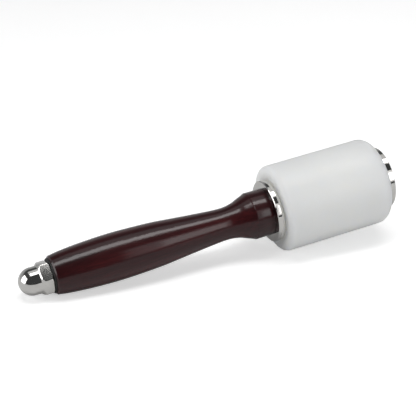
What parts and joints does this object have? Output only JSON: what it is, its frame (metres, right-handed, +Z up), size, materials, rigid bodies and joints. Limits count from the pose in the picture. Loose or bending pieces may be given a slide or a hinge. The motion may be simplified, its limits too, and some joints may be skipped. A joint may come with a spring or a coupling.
{
  "type": "maul",
  "caption": "Barrel maul: white nylon head between plated discs, turned lacquered wooden handle, domed cap nut at the butt.",
  "frame": {"origin": "on the maul's axis, half way along the nylon head", "axes": "+X along the axis from the butt to the head's far end, +Z up across it; the handle points to -X"},
  "size_m": [0.2218, 0.05, 0.05],
  "materials": {
    "nylon": "satin, slightly translucent",
    "plated_discs": "polished nickel",
    "lacquered_wood": "gloss lacquer over dark red stain",
    "black_washer": "matt",
    "plated_nut": "polished nickel",
    "bolt_steel": "bright zinc"
  },
  "bodies": {
    "maul": {"head": "nylon", "collar_disc": "plated_discs", "end_disc": "plated_discs", "handle": "lacquered_wood", "tie_bolt": "bolt_steel"},
    "washer": {"butt_washer": "black_washer"},
    "nut": {"cap_nut": "plated_nut"}
  },
  "joints": [
    {"name": "cap_nut_travel", "type": "slide", "parent": "maul", "child": "washer", "axis": [-1, 0, 0], "range_m": [0, 0.0106]},
    {"name": "cap_nut_turn", "type": "hinge", "parent": "washer", "child": "nut", "pos_m": [-0.1756, 0, 0], "axis": [-1, 0, 0], "range_deg": [0, 2520]}
  ],
  "couplings": [
    {"joint": "cap_nut_travel", "follows": "cap_nut_turn", "m_per_rad": 0.00023873}
  ]
}
